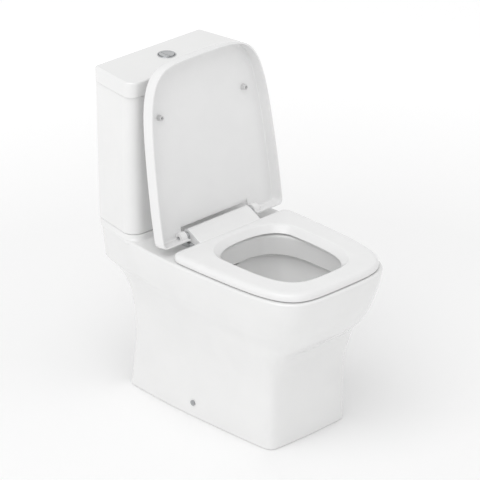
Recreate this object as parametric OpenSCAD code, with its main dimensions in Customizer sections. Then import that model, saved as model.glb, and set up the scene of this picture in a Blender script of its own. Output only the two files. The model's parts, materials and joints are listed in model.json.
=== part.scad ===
// Close coupled toilet: pan, cistern, seat, cover and all their fittings, in millimetres.
// +Z is up, the user sits facing -Y and the wall is the plane y = wall_y.

/* [Pan] */
// Depth from the wall to the front of the rim
pan_depth = 632; // [600:1:680]
// Widest width of the rim
rim_w = 371; // [350:1:390]
// Width of the pan at the wall
back_w = 302; // [280:1:320]
// Height of the rim and deck above the floor
rim_h = 400; // [380:1:420]
// Height of the platform under the cistern above the deck
platform_h = 12; // [8:1:16]
// Thickness of the fired clay walls
clay_t = 12; // [9:0.5:15]
// Width of the foot on the floor
foot_w = 256; // [220:1:280]
// Height of the outlet's centre above the floor
outlet_h = 180; // [175:1:190]
// Outside diameter of the outlet spigot
outlet_d = 102; // [98:0.5:108]

/* [Cistern] */
// Width of the cistern lid at its front
lid_w = 352; // [330:1:370]
// Depth of the cistern lid
lid_depth = 139; // [125:1:160]
// Height of the top of the cistern lid above the floor
total_h = 783; // [740:1:830]
// Height of the cistern lid
lid_h = 37; // [28:1:45]
// Thickness of the tank walls
tank_t = 9; // [7:0.5:12]

/* [Seat] */
// Height of the hinge axis above the floor
axis_h = 424; // [422:0.5:426]
// Distance from the wall to the hinge axis
axis_t = 228; // [220:1:240]
// Angle that the cover opens through
cover_open = 99; // [92:1:102]
// Widest width of the seat ring
seat_w = 356; // [340:1:360]
// Radius of the hinge pins
hinge_r = 5; // [4:0.5:6]

/* [Flush fittings] */
// Distance from the wall to the flush button's centre
button_t = 64; // [55:1:75]
// Radius of the flush button's rim
button_r = 21.5; // [20:0.5:26]
// Travel of the flush buttons
button_travel = 6; // [4:0.5:7]
// Sideways place of the fill valve
fill_x = 116; // [110:1:120]

/* [Hidden] */

$fn = 64;
e = 1; // overrun of a cut
wall_y = pan_depth / 2;
rim_x = rim_w / 2;
back_x = back_w / 2;
foot_x = foot_w / 2;
platform_z = rim_h + platform_h;
tank_top = total_h - lid_h;

// Points on one side of each outline
SIDE_PTS = 5;
FRONT_PTS = 12;

// Where the pan changes shape: height, half width at the back, distance of the back from
// the wall, widest half width, distance of the widest place and of the front, squareness
WAIST_X = foot_x - 4;
PAN_LEVELS = [
    [0, foot_x - 9, 76, foot_x, 250, pan_depth - 91, 8],
    [60, foot_x - 8, 88, foot_x - 3, 258, pan_depth - 96, 8],
    [120, foot_x - 6, 98, WAIST_X, 268, pan_depth - 98, 8],
    [165, foot_x - 3, 102, WAIST_X, 282, pan_depth - 95, 7.5],
    [200, foot_x, 102, foot_x + 2, 300, pan_depth - 84, 6.5],
    [235, foot_x + 3, 99, foot_x + 13, 325, pan_depth - 65, 5.5],
    [270, foot_x + 7, 88, foot_x + 26, 350, pan_depth - 42, 4.8],
    [296, foot_x + 10, 64, foot_x + 36, 362, pan_depth - 29, 4.6],
    [308, foot_x + 11, 30, foot_x + 40, 365, pan_depth - 24, 4.5],
    [314, foot_x + 12, 0, foot_x + 42, 366, pan_depth - 22, 4.5],
    [350, back_x - 6, 0, rim_x - 6, 368, pan_depth - 10, 4.5],
    [382, back_x - 2, 0, rim_x - 1, 370, pan_depth - 2, 4.5],
    [rim_h - 4, back_x, 0, rim_x, 370, pan_depth, 4.5],
    [rim_h, back_x - 3, 0, rim_x - 3, 370, pan_depth - 3, 4.5]];

// The bowl's inside: height, half width, back, widest place, front, squareness
BOWL_LEVELS = [
    [84, 22, 336, 358, 384, 2],
    [92, 34, 326, 360, 396, 2],
    [130, 42, 318, 362, 404, 2.2],
    [170, 50, 314, 368, 428, 2.3],
    [205, 67, 309, 385, 482, 2.4],
    [240, 90, 304, 405, 532, 2.5],
    [280, 111, 297, 425, 570, 2.7],
    [315, 122, 291, 432, 583, 2.9],
    [344, 124, 289, 435, 585, 3],
    [352, 112, 299, 437, 573, 3],
    [rim_h + e, 113, 298, 437, 575, 3]];

// The trapway's centre line, as distance from the wall and height
TRAP_LINE = [[350, 122], [318, 118], [292, 124], [272, 146], [258, 180], [244, 208],
    [224, 224], [200, 222], [184, 204], [168, 187], [146, outlet_h], [118, outlet_h]];
trap_r = 32;

// ---- outlines and lofts ----

function power(v, n) = pow(max(v, 0), 2 / n);

// One side of an outline with a straight back, a bowed flank and a rounded front
function flank(b, t0, m, tc, t1, n, r) = concat(
    [for (a = [0, 45, 90]) [b - r + r * sin(a), t0 + r - r * cos(a)]],
    [for (k = [1:SIDE_PTS])
        let (t = t0 + r + (tc - t0 - r) * k / SIDE_PTS)
        [b + (m - b) * (1 - pow((tc - t) / (tc - t0), 2)), t]],
    [for (k = [1:FRONT_PTS - 1])
        let (a = 90 * k / FRONT_PTS)
        [m * power(cos(a), n), tc + (t1 - tc) * power(sin(a), n)]]);

// A full outline from one side, with the points it has on the centre line at its two ends
function both_sides(h, back, front) = concat(back, h, front,
    [for (k = [len(h) - 1:-1:0]) [-h[k][0], h[k][1]]]);

function pan_ring(s) = both_sides(flank(s[1], s[2], s[3], s[4], s[5], s[6], 10), [], [[0, s[5]]]);

// A closed oval with its own back and front lengths
function oval(m, t0, tc, t1, n) = both_sides(concat(
    [for (k = [1:9]) let (a = 10 * k - 5)
        [m * power(sin(a), n), tc - (tc - t0) * power(cos(a), n)]],
    [[m, tc]],
    [for (k = [1:9]) let (a = 10 * k - 5)
        [m * power(cos(a), n), tc + (t1 - tc) * power(sin(a), n)]]), [[0, t0]], [[0, t1]]);

// A rectangle that widens to the front, with round front corners
function rounded(xb, xf, t0, t1, r) = both_sides(concat(
    [[xb - 4, t0], [xb, t0 + 4]],
    [for (k = [0:8]) let (a = 90 * k / 8) [xf - r + r * cos(a), t1 - r + r * sin(a)]]), [], []);

function at_height(ring, z) = [for (p = ring) [p[0], wall_y - p[1], z]];

// A solid through rings of equal length, each a list of points in space
module loft(rings) {
    n = len(rings[0]);
    last = len(rings) - 1;
    polyhedron([for (r = rings) each r], concat(
        [[for (i = [n - 1:-1:0]) i]],
        [[for (i = [0:n - 1]) last * n + i]],
        [for (k = [0:last - 1], i = [0:n - 1]) let (j = (i + 1) % n)
            each [[k * n + i, (k + 1) * n + j, (k + 1) * n + i],
                [k * n + i, k * n + j, (k + 1) * n + j]]]));
}

// A ring-shaped solid: each section is a closed list of points
module band(sections) {
    n = len(sections);
    m = len(sections[0]);
    polyhedron([for (s = sections) each s],
        [for (k = [0:n - 1], i = [0:m - 1]) let (k2 = (k + 1) % n, j = (i + 1) % m)
            each [[k * m + i, k2 * m + i, k2 * m + j], [k * m + i, k2 * m + j, k * m + j]]]);
}

// A round tube along the trapway's centre line
module trap(r) {
    n = len(TRAP_LINE);
    rings = [for (k = [0:n - 1])
        let (p = TRAP_LINE[k], a = TRAP_LINE[max(k - 1, 0)], b = TRAP_LINE[min(k + 1, n - 1)],
            d = (b - a) / norm(b - a))
        [for (i = [0:23]) let (w = -15 * i)
            [r * cos(w), wall_y - p[0] + r * sin(w) * d[1], p[1] + r * sin(w) * d[0]]]];
    loft(rings);
}

module up(x, t, z) { translate([x, wall_y - t, z]) children(); }
module both() {
    children();
    mirror([1, 0, 0]) children();
}
module pair(x, t, z) { for (s = [-1, 1]) up(s * x, t, z) children(); }
module ring(ro, ri, h) {
    difference() {
        cylinder(r = ro, h = h);
        translate([0, 0, -e]) cylinder(r = ri, h = h + 2 * e);
    }
}
// A box from the wall distance t0 to t1
module slab(x0, x1, t0, t1, z0, z1) {
    translate([x0, wall_y - t1, z0]) cube([x1 - x0, t1 - t0, z1 - z0]);
}
// A cylinder along X, centred on the hinge axis
module on_axis(x0, x1, r) {
    up(x0, axis_t, axis_h) rotate([0, 90, 0]) cylinder(r = r, h = x1 - x0);
}
module hex_nut(across, hole, h) {
    difference() {
        cylinder(r = across / sqrt(3), h = h, $fn = 6);
        translate([0, 0, -e]) cylinder(r = hole, h = h + 2 * e);
    }
}
module wing_nut(hole) {
    difference() {
        union() {
            cylinder(r = hole + 4, h = 9);
            translate([-15, -1.5, 0]) cube([30, 3, 8]);
        }
        translate([0, 0, -e]) cylinder(r = hole, h = 11);
    }
}

// ---- pan ----

recess_r = 48;
recess_z = platform_z - 28;
valve_t = 67;
duct_z = 362;
duct_r = 22;
deck_under = rim_h - clay_t;
seat_bolt_x = 77.5;
cistern_bolt_x = 75;
cistern_bolt_t = 70;
fix_t = 279;
fix_z = 35;
spigot_t = 58;

function hollow_level(s) = [s[0] == 0 ? -e : min(s[0], deck_under), s[1] - clay_t, -20,
    s[3] - clay_t, s[4], s[5] - 1.3 * clay_t, s[6]];
function shell_level(s) = [s[0], s[1] + 11, s[2] - 11, s[3], s[4] + 11, s[5]];
function bowl_ring(s) = oval(s[1], s[2], s[3], s[4], s[5]);

module pan_outside() {
    loft([for (s = PAN_LEVELS) at_height(pan_ring(s), s[0])]);
}
module pan_hollow() {
    loft([for (s = PAN_LEVELS) if (s[0] < deck_under - 2)
            at_height(pan_ring(hollow_level(s)), hollow_level(s)[0])]);
    loft([for (z = [340, deck_under]) at_height(pan_ring([z, back_x - 16, -20,
        rim_x - 16, 368, pan_depth - 24, 4.5]), z)]);
}
module bowl_inside() {
    loft([for (s = BOWL_LEVELS) at_height(bowl_ring(s), s[0])]);
}
module bowl_shell() {
    levels = [for (s = BOWL_LEVELS) if (s[0] < rim_h) shell_level(s)];
    loft(concat([at_height(bowl_ring(levels[0]), levels[0][0] - 11)],
        [for (s = levels) at_height(bowl_ring(s), s[0])],
        [at_height(bowl_ring(levels[len(levels) - 1]), rim_h - e)]));
}
module flush_duct_block() {
    up(0, valve_t, 330) cylinder(r = recess_r + 10, h = 62);
    slab(-duct_r - 10, duct_r + 10, valve_t, 300, 330, rim_h - 6);
}
module platform() {
    loft([at_height(rounded(back_x - 1, rim_x - 12, 0, lid_depth + 4, 34), rim_h - 5),
        at_height(rounded(back_x + 1, rim_x - 14, 0, lid_depth, 34), rim_h + 2),
        at_height(rounded(back_x + 1, rim_x - 14, 0, lid_depth - 2, 33), platform_z)]);
}
module pan() {
    color("white") difference() {
        union() {
            difference() {
                pan_outside();
                difference() {
                    pan_hollow();
                    bowl_shell();
                    flush_duct_block();
                    trap(trap_r + 9);
                }
            }
            platform();
            up(0, spigot_t, outlet_h) rotate([90, 0, 0]) cylinder(d = outlet_d, h = 62);
        }
        bowl_inside();
        trap(trap_r);
        up(0, spigot_t - e, outlet_h) rotate([90, 0, 0]) cylinder(r = 42, h = 62);
        up(0, valve_t, recess_z) cylinder(r = recess_r, h = 30);
        up(0, valve_t, duct_z - 6) cylinder(r = 33, h = 40);
        up(0, valve_t, duct_z) rotate([90, 0, 0]) cylinder(r = duct_r, h = 250);
        pair(cistern_bolt_x, cistern_bolt_t, deck_under - 5) cylinder(r = 6, h = 40);
        up(fill_x, valve_t, deck_under - 5) cylinder(r = 18, h = 40);
        pair(seat_bolt_x, axis_t, deck_under - 5) cylinder(r = 7, h = 30);
        for (s = [-1, 1]) up(s * 90, fix_t, fix_z) rotate([0, s * 90, 0]) cylinder(r = 4, h = 60);
    }
}

// ---- cistern ----

module tank_loft(z0, z1, inset) {
    loft([at_height(rounded(back_x + 3 - inset, rim_x - 13.5 - inset, inset,
            lid_depth - 3.5 - inset, 32 - inset), z0),
        at_height(rounded(back_x + 6 - inset, rim_x - 12 - inset, inset,
            lid_depth - 3 - inset, 27 - inset), z1)]);
}
module cistern_tank() {
    color("white") difference() {
        tank_loft(platform_z, tank_top, 0);
        tank_loft(platform_z + tank_t, tank_top + e, tank_t);
        up(0, valve_t, platform_z - e) cylinder(r = 31, h = 20);
        up(fill_x, valve_t, platform_z - e) cylinder(r = 11, h = 20);
        pair(cistern_bolt_x, cistern_bolt_t, platform_z - e) cylinder(r = 5, h = 20);
        pair(100, tank_t + e, tank_top - 45) rotate([-90, 0, 0]) cylinder(r = 4, h = 20);
    }
}

lid_gap = 0.3;
button_hole_r = button_r - 1.5;
module lid_loft(z0, z1, inset) {
    loft([for (z = [z0, z1]) at_height(rounded(back_x + 10 - inset, lid_w / 2 - inset, inset,
        lid_depth - inset, 24 - min(inset, 6)), z)]);
}
module cistern_lid() {
    z0 = tank_top + lid_gap;
    color("white") difference() {
        union() {
            difference() {
                loft([for (s = [[z0, 1], [z0 + 2, 0], [total_h - 6, 0],
                        [total_h - 2, 1], [total_h, 4]])
                    at_height(rounded(back_x + 10 - s[1], lid_w / 2 - s[1], s[1],
                        lid_depth - s[1], 24 - s[1]), s[0])]);
                lid_loft(z0 - e, total_h - 10, 14.5);
            }
            difference() {
                lid_loft(z0 - 7, total_h - 12, 14);
                lid_loft(z0 - 8, total_h - 9, 18);
            }
            up(0, button_t, total_h - 25) cylinder(r = button_hole_r + 7, h = 17);
        }
        up(0, button_t, z0) cylinder(r = button_hole_r, h = 50);
    }
}

// ---- coupling between cistern and pan ----

module coupling_gasket() {
    color("dimgray") up(0, valve_t, recess_z + 0.5) ring(recess_r - 1, 31, platform_z - recess_z - 10.5);
}
module cistern_bolts() {
    color("goldenrod") pair(cistern_bolt_x, cistern_bolt_t, 0) {
        translate([0, 0, platform_z + tank_t + 3]) cylinder(r = 10, h = 5);
        translate([0, 0, deck_under - 22]) cylinder(r = 4, h = 22 + platform_h + clay_t + tank_t + 4);
    }
}
module cistern_bolt_washers() {
    color("dimgray") pair(cistern_bolt_x, cistern_bolt_t, platform_z + tank_t) ring(14, 4, 3);
}
module cistern_wing_nuts() {
    color("goldenrod") pair(cistern_bolt_x, cistern_bolt_t, deck_under - 9) wing_nut(4);
}

// ---- flush valve ----

tank_floor = platform_z + tank_t;
module flush_valve_base() {
    color("whitesmoke") up(0, valve_t, 0) difference() {
        union() {
            translate([0, 0, recess_z - 4]) cylinder(r = 30.5, h = tank_floor - recess_z + 5);
            translate([0, 0, tank_floor]) cylinder(r = 44, h = 7);
            translate([0, 0, tank_floor]) cylinder(r = 30, h = 12.7);
        }
        translate([0, 0, recess_z - 5]) cylinder(r = 26, h = 80);
    }
}
module flush_valve_backnut() {
    color("whitesmoke") up(0, valve_t, platform_z - 10) hex_nut(74, 30.5, 10);
}
module flush_valve_cage() {
    color("lightsteelblue") up(0, valve_t, 0) difference() {
        union() {
            translate([0, 0, tank_floor + 7]) ring(40, 37, 200);
            translate([0, 0, tank_floor + 204]) cylinder(r = 40, h = 3);
            translate([0, 0, tank_floor + 207]) ring(21, 18, 52);
        }
        translate([0, 0, tank_floor + 200]) cylinder(r = 15, h = 20);
        for (a = [0, 90]) rotate(a) translate([-50, -14, tank_floor + 12]) cube([100, 28, 50]);
        for (a = [45, 135]) rotate(a) translate([-50, -6, tank_floor + 90]) cube([100, 12, 80]);
        translate([-30, -7, tank_floor + 212]) cube([60, 14, 38]);
    }
}
rod_gap_x = 11;
cap_z = tank_floor + 259;
module flush_valve_cap() {
    color("steelblue") up(0, valve_t, cap_z) difference() {
        cylinder(r = 24, h = 20);
        for (s = [-1, 1]) translate([s * rod_gap_x - 2, valve_t - button_t, 17]) cylinder(r = 3, h = 4);
    }
}
module overflow_tube() {
    color("whitesmoke") up(0, valve_t, tank_floor + 17) ring(13, 11, 225);
}
module seal_retainer() {
    color("royalblue") up(0, valve_t, tank_floor + 16) {
        translate([0, 0, 1]) ring(30, 13, 4);
        ring(33, 24, 1);
    }
}
module flush_seal() {
    color("dimgray") up(0, valve_t, tank_floor + 13) ring(33, 24, 3);
}
module half_flush_float() {
    color("lightyellow") up(0, valve_t, tank_floor + 90) difference() {
        cylinder(r = 32, h = 34);
        translate([0, 0, -e]) cylinder(r = 13, h = 40);
        translate([0, 0, 3]) ring(30, 16, 40);
    }
}

// ---- fill valve ----

head_z = tank_floor + 250;
arm_z = head_z + 36;
arm_pivot_x = fill_x - 20;
link_x = fill_x + 22;
tail_r = 10.2;
module fill_valve_body() {
    color("whitesmoke") up(fill_x, valve_t, 0) difference() {
        union() {
            translate([0, 0, tank_floor - 60]) cylinder(r = tail_r, h = 42);
            translate([0, 0, tank_floor - 18]) cylinder(r = 10.4, h = 22);
            translate([0, 0, tank_floor + 3]) cylinder(r = 17, h = 4);
            translate([0, 0, tank_floor + 6]) cylinder(r = 9, h = 246);
            translate([0, 0, head_z]) cylinder(r = 15, h = 18);
        }
        translate([0, 0, tank_floor - 61]) cylinder(r = 6, h = 300);
    }
}
module fill_valve_washer() {
    color("dimgray") up(fill_x, valve_t, tank_floor) ring(17, 10.4, 3);
}
module fill_valve_backnut() {
    color("whitesmoke") up(fill_x, valve_t, platform_z - 8) hex_nut(30, 10.4, 8);
}
module fill_valve_cap() {
    color("steelblue") {
        difference() {
            slab(arm_pivot_x - 8, arm_pivot_x + 8, valve_t - 9, valve_t + 9, head_z + 18, arm_z + 8);
            slab(arm_pivot_x - 9, arm_pivot_x + 9, valve_t - 4.5, valve_t + 4.5, arm_z - 8, arm_z + 9);
        }
        up(arm_pivot_x, valve_t - 7, arm_z) rotate([90, 0, 0]) cylinder(r = 2, h = 14);
    }
}
module float_arm() {
    color("royalblue") difference() {
        union() {
            slab(arm_pivot_x, link_x + 8, valve_t - 4, valve_t + 4, arm_z - 2, arm_z + 2);
            up(arm_pivot_x, valve_t - 4, arm_z) rotate([90, 0, 0]) cylinder(r = 5, h = 8);
            up(link_x, valve_t, arm_z - 2) cylinder(r = 8, h = 4);
        }
        up(arm_pivot_x, valve_t - 5, arm_z) rotate([90, 0, 0]) cylinder(r = 2.05, h = 10);
        up(link_x, valve_t, arm_z - 6) cylinder(r = 5, h = 12);
    }
}
module float_cup() {
    color("lightyellow") up(fill_x, valve_t, head_z - 80) difference() {
        cylinder(r = 27, h = 60);
        translate([0, 0, -e]) cylinder(r = 10, h = 62);
        translate([0, 0, -e]) ring(25, 12.5, 56);
    }
}
module float_link() {
    color("silver") up(link_x, valve_t, head_z - 20) {
        cylinder(r = 2, h = 70);
        cylinder(r = 4, h = 3);
    }
}

// ---- flush buttons ----

split_x = -4;
button_top = total_h + 3;
housing_z = total_h - 35;
rod_len = 69.5;
module button_bezel() {
    color("silver") up(0, button_t, 0) difference() {
        union() {
            translate([0, 0, total_h]) cylinder(r = button_r, h = 2);
            translate([0, 0, housing_z]) cylinder(r = button_hole_r - 0.2, h = 36);
        }
        translate([0, 0, housing_z + 2]) cylinder(r = button_hole_r - 2, h = 50);
        for (x = [rod_gap_x - 2, -rod_gap_x - 2]) translate([x, 0, housing_z - e]) cylinder(r = 3, h = 5);
    }
}
module button_collar_nut() {
    color("whitesmoke") up(0, button_t, housing_z + 3) ring(button_hole_r + 5, button_hole_r - 0.2, 6.9);
}
module button_part(x0, x1) {
    color("silver") up(0, button_t, button_top - 10) intersection() {
        cylinder(r = button_hole_r - 2.4, h = 10);
        translate([x0, -30, -e]) cube([x1 - x0, 60, 20]);
    }
}
module full_flush_button() { button_part(split_x + 0.4, 40); }
module half_flush_button() { button_part(-40, split_x - 0.4); }
module push_rod(x) {
    color("whitesmoke") up(x, button_t, button_top - 10 - rod_len) cylinder(r = 2.3, h = rod_len);
}
module full_push_rod() { push_rod(rod_gap_x - 2); }
module half_push_rod() { push_rod(-rod_gap_x - 2); }
// A coil spring of round wire
module spring(r, wire, h, turns) {
    n = 10 * turns;
    loft([for (k = [0:n]) let (a = -36 * k, z = wire + (h - 2 * wire) * k / n)
        [for (i = [0:5]) let (w = 60 * i)
            [(r + wire * cos(w)) * cos(a), (r + wire * cos(w)) * sin(a), z + wire * sin(w)]]]);
}
module button_spring(x) {
    color("silver") up(x, button_t, housing_z + 2) spring(3.8, 0.5, button_top - 12.2 - housing_z, 6);
}
module full_button_spring() { button_spring(rod_gap_x - 2); }
module half_button_spring() { button_spring(-rod_gap_x - 2); }

// ---- seat ----

seat_z = rim_h + 3.5;
seat_top = rim_h + 20.5;
seat_back = 264;
seat_front = pan_depth - 7.5;
block_x = 93;
block_r = 14.3;
function seat_outline(d) = both_sides(flank(seat_w / 2 - 6 - d, seat_back + d, seat_w / 2 - d, 365,
    seat_front - d, 4.3, 12), [[0, seat_back + d]], [[0, seat_front - d]]);
function opening(d) = oval(102 + d, 301 - d, 430, 560 + d, 2.9);
function seat_section(i) =
    let (o = [for (d = [2, 0, 0, 3, 8]) seat_outline(d)[i]], c = [for (d = [14, 10, 1, 0]) opening(d)[i]],
        oz = [seat_z, seat_z + 2, seat_top - 6, seat_top - 1, seat_top],
        cz = [seat_top, seat_top - 1.5, seat_z + 5, seat_z])
    concat([for (k = [0:4]) [o[k][0], wall_y - o[k][1], oz[k]]],
        [for (k = [0:3]) [c[k][0], wall_y - c[k][1], cz[k]]]);

module seat_ring() {
    color("white") difference() {
        union() {
            band([for (i = [0:len(opening(0)) - 1]) seat_section(i)]);
            on_axis(-block_x, block_x, block_r);
            translate([-block_x, 0, 0]) rotate([90, 0, 90]) linear_extrude(2 * block_x)
                polygon([for (p = [[axis_t + 4, axis_h - 13], [axis_t + 9, axis_h + 11],
                        [axis_t + 24, seat_top + 4], [seat_back + 8, seat_top],
                        [seat_back + 8, seat_z + 3], [seat_back, seat_z + 3]])
                    [wall_y - p[0], p[1]]]);
        }
        for (s = [-1, 1]) on_axis(s > 0 ? 56 : -block_x - e, s > 0 ? block_x + e : -56, hinge_r + 0.05);
        on_axis(-56.5, 56.5, 8);
    }
}
module seat_dampers() {
    color("lightgray") for (x = [-55, 3]) on_axis(x, x + 52, 8);
}
module seat_buffers() {
    color("gainsboro") for (t = [330, 540]) pair(t == 330 ? 150 : 128, t, rim_h + 0.2) cylinder(r = 9, h = 3.3);
}

// ---- cover ----

cover_z = rim_h + 3;
cover_top = axis_h + 13.5;
cover_back = axis_t - 6;
cover_front = pan_depth - 2.5;
cover_wall = 3.4;
cover_side = seat_w / 2 + 5;
function cover_outline(d) = both_sides(flank(cover_side - 2 - d, cover_back + d, cover_side - d, 365,
    cover_front - d, 4.3, 10), [], [[0, cover_front - d]]);
// Turns a piece drawn with the cover shut to where the cover rests when it is open
module opened() {
    translate([0, wall_y - axis_t, axis_h]) rotate([-cover_open, 0, 0])
        translate([0, axis_t - wall_y, -axis_h]) children();
}
ear_x = 103.5;
ear_t = 10.5;
module cover_ear() {
    on_axis(ear_x, ear_x + ear_t, 11.5);
    slab(ear_x, ear_x + ear_t, axis_t - 5, axis_t + 11, axis_h, cover_top - 2);
    slab(ear_x, ear_x + ear_t, axis_t - 5.5, axis_t, axis_h - 10, axis_h);
}
module seat_cover() {
    color("white") opened() difference() {
        union() {
            loft([for (s = [[cover_top - 5, cover_wall + 9], [cover_top - 12, cover_wall],
                    [cover_z, cover_wall], [cover_z, 0.6], [cover_z + 1, 0],
                    [cover_top - 8, 0], [cover_top - 2, 3], [cover_top, 9]])
                at_height(cover_outline(s[1]), s[0])]);
            both() cover_ear();
        }
        slab(-ear_x + 0.3, ear_x - 0.3, cover_back - e, axis_t + 17, cover_z - e, cover_top + e);
        both() on_axis(ear_x - e, ear_x + ear_t + 2, hinge_r + 0.05);
    }
}
module cover_buffers() {
    color("gainsboro") opened() for (s = [-1, 1]) up(s * 128, axis_t + 283, seat_top + 0.2)
        cylinder(r = 7, h = cover_top - 5 - seat_top - 0.2);
}

// ---- hinge ----

module hinge_posts() {
    color("silver") both() difference() {
        union() {
            up(seat_bolt_x, axis_t, rim_h) cylinder(r = 20, h = 8);
            slab(block_x + 1, block_x + 9.5, axis_t - 9, axis_t + 9, rim_h, axis_h);
            on_axis(block_x + 1, block_x + 9.5, 9);
        }
        on_axis(block_x, block_x + 12, hinge_r);
        up(seat_bolt_x, axis_t, rim_h - e) cylinder(r = 4, h = 12);
        up(seat_bolt_x, axis_t, rim_h + 4) cylinder(r = 7, h = 12);
    }
}
module hinge_pins() {
    color("silver") both() on_axis(57, ear_x + ear_t + 1.5, hinge_r);
}
module seat_bolts() {
    color("silver") pair(seat_bolt_x, axis_t, 0) {
        translate([0, 0, rim_h + 4]) cylinder(r = 7, h = 4);
        translate([0, 0, rim_h - 58]) cylinder(r = 4, h = 63);
    }
}
module seat_bolt_washers() {
    color("dimgray") pair(seat_bolt_x, axis_t, deck_under - 4) ring(13, 4, 4);
}
module seat_wing_nuts() {
    color("whitesmoke") pair(seat_bolt_x, axis_t, deck_under - 13) wing_nut(4);
}

// ---- floor fixing ----

bracket_x = foot_x - 16.5;
module floor_brackets() {
    color("whitesmoke") both() difference() {
        union() {
            slab(bracket_x - 30, bracket_x, fix_t - 16, fix_t + 16, 0, 6);
            slab(bracket_x - 8, bracket_x, fix_t - 16, fix_t + 16, 0, 52);
        }
        up(bracket_x - 20, fix_t, -e) cylinder(r = 3, h = 10);
        up(bracket_x - 10, fix_t, fix_z) rotate([0, 90, 0]) cylinder(r = 3, h = 12);
    }
}
module bracket_bolts() {
    color("silver") pair(bracket_x - 20, fix_t, 0) {
        cylinder(r = 3, h = 6);
        translate([0, 0, 6]) cylinder(r = 6, h = 4);
    }
}
module side_screws() {
    color("silver") both() up(bracket_x - 16, fix_t, fix_z) rotate([0, 90, 0]) cylinder(r = 3, h = 30);
}
module side_screw_caps() {
    color("lightgray") both() up(foot_x - 1.1, fix_t, fix_z) rotate([0, 90, 0]) difference() {
        cylinder(r = 6.5, h = 2.5);
        translate([0, 0, -e]) cylinder(r = 3, h = 1.9);
    }
}

pan();
cistern_tank();
cistern_lid();
coupling_gasket();
flush_valve_base();
flush_valve_backnut();
flush_valve_cage();
flush_valve_cap();
overflow_tube();
flush_seal();
seal_retainer();
half_flush_float();
fill_valve_body();
fill_valve_washer();
fill_valve_backnut();
fill_valve_cap();
float_cup();
float_link();
float_arm();
cistern_bolts();
cistern_bolt_washers();
cistern_wing_nuts();
button_bezel();
button_collar_nut();
full_flush_button();
half_flush_button();
full_push_rod();
half_push_rod();
full_button_spring();
half_button_spring();
seat_ring();
seat_cover();
seat_buffers();
cover_buffers();
hinge_posts();
hinge_pins();
seat_dampers();
seat_bolts();
seat_bolt_washers();
seat_wing_nuts();
floor_brackets();
bracket_bolts();
side_screws();
side_screw_caps();
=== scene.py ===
"""A close coupled toilet: its looks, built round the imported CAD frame.

Metres, +Z up. The wall is at the CAD box's highest y and a user sits facing -Y. Lengths in the
tables below are millimetres: t is the distance from the wall, z the height above the floor.
"""

import json
import math

import bmesh
import bpy
import numpy as np
from mathutils import Matrix, Vector


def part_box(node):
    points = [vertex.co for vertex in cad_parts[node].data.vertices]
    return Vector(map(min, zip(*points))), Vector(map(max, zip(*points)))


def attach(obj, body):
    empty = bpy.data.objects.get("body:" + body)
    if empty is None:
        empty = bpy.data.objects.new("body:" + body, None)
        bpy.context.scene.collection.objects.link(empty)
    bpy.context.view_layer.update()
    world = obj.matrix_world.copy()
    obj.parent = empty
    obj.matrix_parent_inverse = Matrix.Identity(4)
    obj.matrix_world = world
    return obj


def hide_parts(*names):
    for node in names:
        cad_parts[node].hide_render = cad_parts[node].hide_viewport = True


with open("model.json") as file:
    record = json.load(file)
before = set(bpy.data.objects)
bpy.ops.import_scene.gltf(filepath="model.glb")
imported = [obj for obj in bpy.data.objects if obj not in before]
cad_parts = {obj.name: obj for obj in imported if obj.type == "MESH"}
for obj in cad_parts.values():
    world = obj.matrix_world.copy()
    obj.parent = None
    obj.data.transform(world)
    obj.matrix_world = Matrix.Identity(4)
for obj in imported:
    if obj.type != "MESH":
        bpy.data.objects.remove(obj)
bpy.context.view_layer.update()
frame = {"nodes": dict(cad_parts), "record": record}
MM = 0.001
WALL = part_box("pan")[1][1] / MM
PLATFORM_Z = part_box("pan")[1][2] / MM  # where the cistern stands
LID_LOW, LID_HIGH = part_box("cistern_lid")
TOTAL_H = LID_HIGH[2] / MM
TANK_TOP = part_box("cistern_tank")[1][2] / MM
RIM_H = 400
AXIS_T = 228
AXIS_H = 424
COVER_OPEN = math.radians(99)
HALF_POINTS = 120  # points on the +X half of every outline
FRONT_BOW = 6  # how far the middle of a front stands out past its corners


# ---- curves and outlines ----


def slopes(xs, ys):
    """Slopes at the points that keep a cubic through them from overshooting."""
    d = np.diff(ys) / np.diff(xs)
    m = np.concatenate([[d[0]], (d[:-1] + d[1:]) / 2, [d[-1]]])
    turn = np.concatenate([[False], d[:-1] * d[1:] <= 0, [False]])
    m[turn] = 0
    for k in range(len(d)):
        steepest = 3 * abs(d[k])
        for i in (k, k + 1):
            m[i] = math.copysign(min(abs(m[i]), steepest), m[i])
    return m


def smooth(xs, ys, x):
    """A smooth curve through the points (xs, ys), at x."""
    xs, ys = np.asarray(xs, float), np.asarray(ys, float)
    m = slopes(xs, ys)
    k = int(np.clip(np.searchsorted(xs, x) - 1, 0, len(xs) - 2))
    h = xs[k + 1] - xs[k]
    u = (x - xs[k]) / h
    return (
        ys[k] * (1 + 2 * u) * (1 - u) ** 2
        + ys[k + 1] * u * u * (3 - 2 * u)
        + h * m[k] * u * (1 - u) ** 2
        - h * m[k + 1] * u * u * (1 - u)
    )


def levels_at(levels, z):
    """A row of a table of levels at height z; a row is (z, ...)."""
    zs = [row[0] for row in levels]
    return [smooth(zs, [row[i] for row in levels], z) for i in range(1, len(levels[0]))]


def resample(points, count):
    """The same line with evenly spaced points."""
    p = np.asarray(points, float)
    s = np.concatenate([[0], np.cumsum(np.hypot(*np.diff(p, axis=0).T))])
    even = np.linspace(0, s[-1], count)
    return np.stack([np.interp(even, s, p[:, 0]), np.interp(even, s, p[:, 1])], axis=1)


def arc(cx, cy, r, a0, a1, count=16):
    """Points on an arc, from a0 to a1 degrees."""
    return [
        (cx + r * math.cos(a), cy + r * math.sin(a))
        for a in np.linspace(math.radians(a0), math.radians(a1), count)
    ]


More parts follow.
